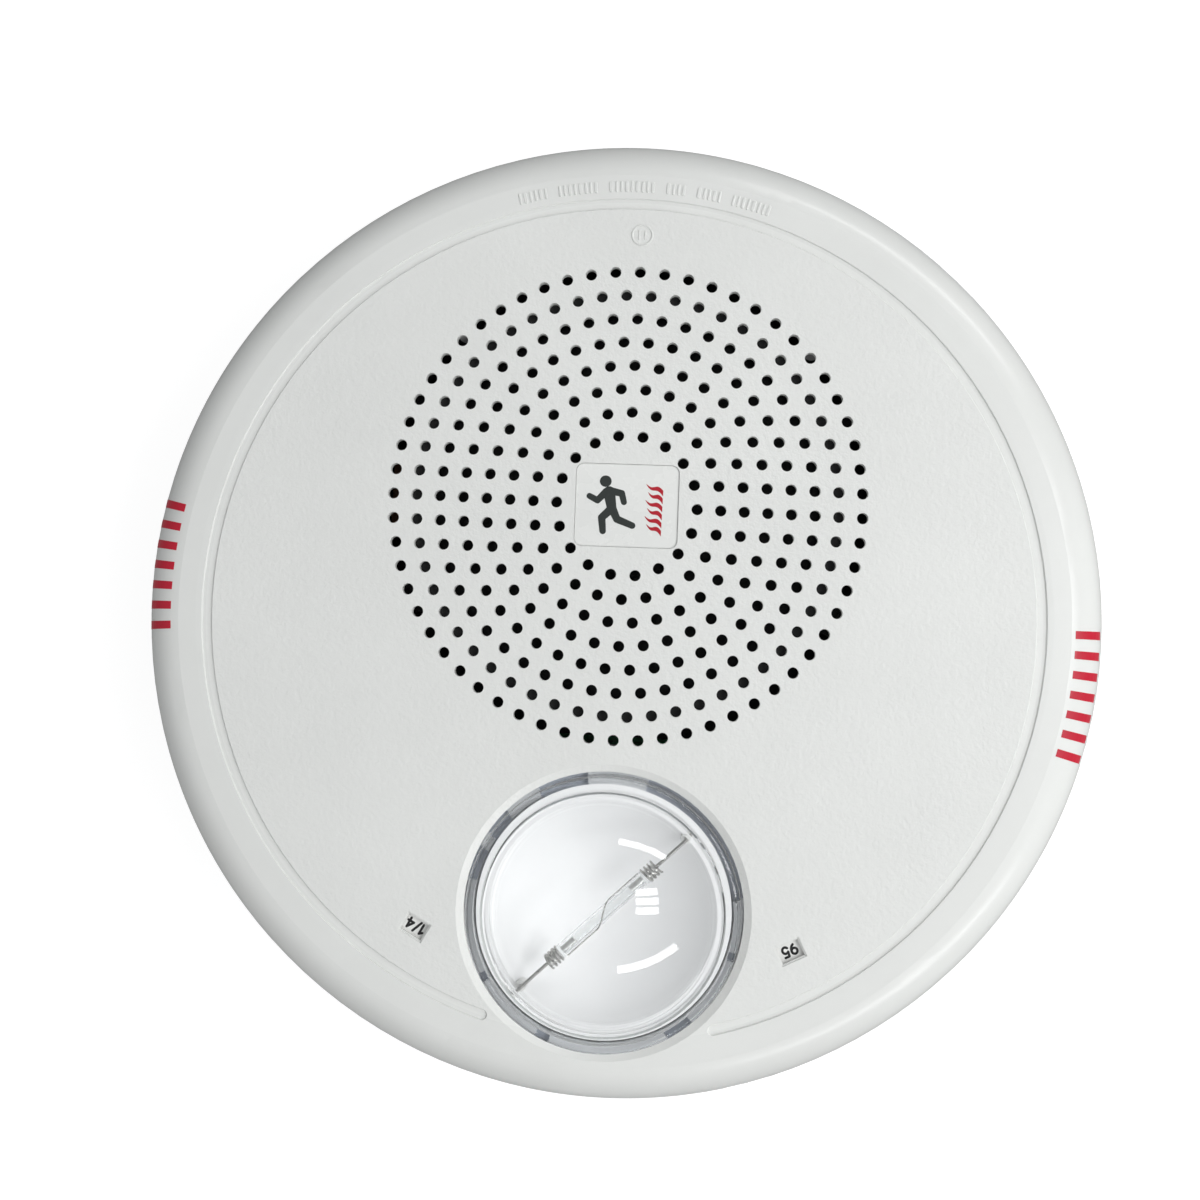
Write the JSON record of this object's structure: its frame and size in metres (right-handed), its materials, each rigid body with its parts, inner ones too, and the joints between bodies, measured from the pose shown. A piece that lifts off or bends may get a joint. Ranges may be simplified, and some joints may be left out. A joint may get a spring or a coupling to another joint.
{
  "type": "ceiling speaker strobe",
  "caption": "Round white ceiling fire alarm speaker strobe with a perforated grille, a clear strobe dome and setting windows.",
  "frame": {"origin": "centre of the round cover, in the plane of the ceiling that the chassis and the cover's rim lie against", "axes": "+Z out of the face, away from the ceiling; +Y from the strobe towards the loudspeaker; +X to the right seen from the front with the strobe below"},
  "size_m": [0.226, 0.226, 0.0646],
  "materials": {
    "cover_plastic": "fine moulded grain on the face, smooth glossy rim",
    "pictogram_plastic": "smooth plate sunk into the cover, with a printed evacuation pictogram",
    "chassis_plastic": "moulded black",
    "basket_steel": "black coated pressed steel",
    "foam": "closed-cell black foam",
    "zinc_steel": "zinc plated",
    "ferrite": "ground ferrite",
    "cone_paper": "pressed paper pulp",
    "surround_cloth": "treated cloth",
    "spider_cloth": "resin-dipped cotton",
    "former_kapton": "amber polyimide",
    "copper": "enamelled copper wire",
    "phenolic": "brown paper phenolic",
    "tinned_brass": "tin plated",
    "core_steel": "varnished steel laminations",
    "nylon": "natural nylon",
    "wire_black": "PVC insulation",
    "wire_red": "PVC insulation",
    "board": "green solder mask on glass epoxy",
    "chip_epoxy": "moulded epoxy",
    "resistor": "lacquer with colour bands",
    "can_aluminium": "drawn can",
    "sleeve_pvc": "heat-shrunk sleeve",
    "tape_yellow": "polyester tape",
    "capacitor_film": "dipped film",
    "terminal_plastic": "moulded green",
    "switch_plastic": "moulded blue",
    "print_red": "screen print",
    "print_black": "screen print",
    "dial_plastic": "white with black printed values",
    "housing_plastic": "moulded white",
    "reflector_plastic": "bright satin white moulding",
    "lens_polycarbonate": "clear polycarbonate",
    "tube_glass": "fused glass",
    "tube_metal": "nickel plated",
    "silicone": "white silicone"
  },
  "bodies": {
    "base": {"chassis": "chassis_plastic", "speaker_basket": "basket_steel", "speaker_gasket": "foam", "speaker_screws": "zinc_steel", "magnet_ring": "ferrite", "front_pole_plate": "zinc_steel", "back_plate_and_pole": "zinc_steel", "cone_surround": "surround_cloth", "spider": "spider_cloth", "terminal_strip": "phenolic", "terminal_lugs": "tinned_brass", "tinsel_leads": "copper", "transformer_core": "core_steel", "transformer_bobbin": "nylon", "transformer_winding": "copper", "transformer_bracket": "zinc_steel", "transformer_screws": "zinc_steel", "secondary_wires": "wire_black", "primary_wires": "wire_red", "circuit_board": "board", "board_screws": "zinc_steel", "board_chips": "chip_epoxy", "board_resistors": "resistor", "flash_capacitor": "can_aluminium", "capacitor_sleeve": "sleeve_pvc", "trigger_transformer": "tape_yellow", "inductor_core": "ferrite", "inductor_winding": "copper", "power_transistor": "chip_epoxy", "blocking_capacitor": "capacitor_film", "audio_terminal_block": "terminal_plastic", "strobe_terminal_block": "terminal_plastic", "terminal_screws": "zinc_steel", "wire_header": "nylon", "strobe_housing": "housing_plastic", "reflector": "reflector_plastic", "flash_tube": "tube_glass", "tube_electrodes": "tube_metal", "tube_leads": "tube_metal", "trigger_wire": "tube_metal", "tube_grommets": "silicone", "lens_gasket": "foam", "strobe_lens": "lens_polycarbonate", "candela_switch": "switch_plastic", "tap_switch": "switch_plastic"},
    "cover": {"cover": "cover_plastic", "pictogram_plate": "pictogram_plastic"},
    "cone": {"paper_cone": "cone_paper", "dust_cap": "cone_paper", "coil_former": "former_kapton", "voice_coil": "copper"},
    "candela_dial": {"candela_dial": "dial_plastic"},
    "tap_dial": {"tap_dial": "dial_plastic"}
  },
  "joints": [
    {"name": "cover_removal", "type": "slide", "parent": "base", "child": "cover", "axis": [0, 0, 1], "range_m": [0, 0.05]},
    {"name": "cone_travel", "type": "slide", "parent": "base", "child": "cone", "axis": [0, 0, 1], "range_m": [-0.001, 0.001], "stiffness_N_per_m": 900, "deforming": ["cone_surround", "spider", "tinsel_leads"]},
    {"name": "candela_select", "type": "hinge", "parent": "base", "child": "candela_dial", "pos_m": [0.04666, -0.08019, 0.02], "axis": [0, 0, 1], "range_deg": [-135, 0]},
    {"name": "tap_select", "type": "hinge", "parent": "base", "child": "tap_dial", "pos_m": [-0.04666, -0.08019, 0.02], "axis": [0, 0, 1], "range_deg": [0, 135]}
  ]
}
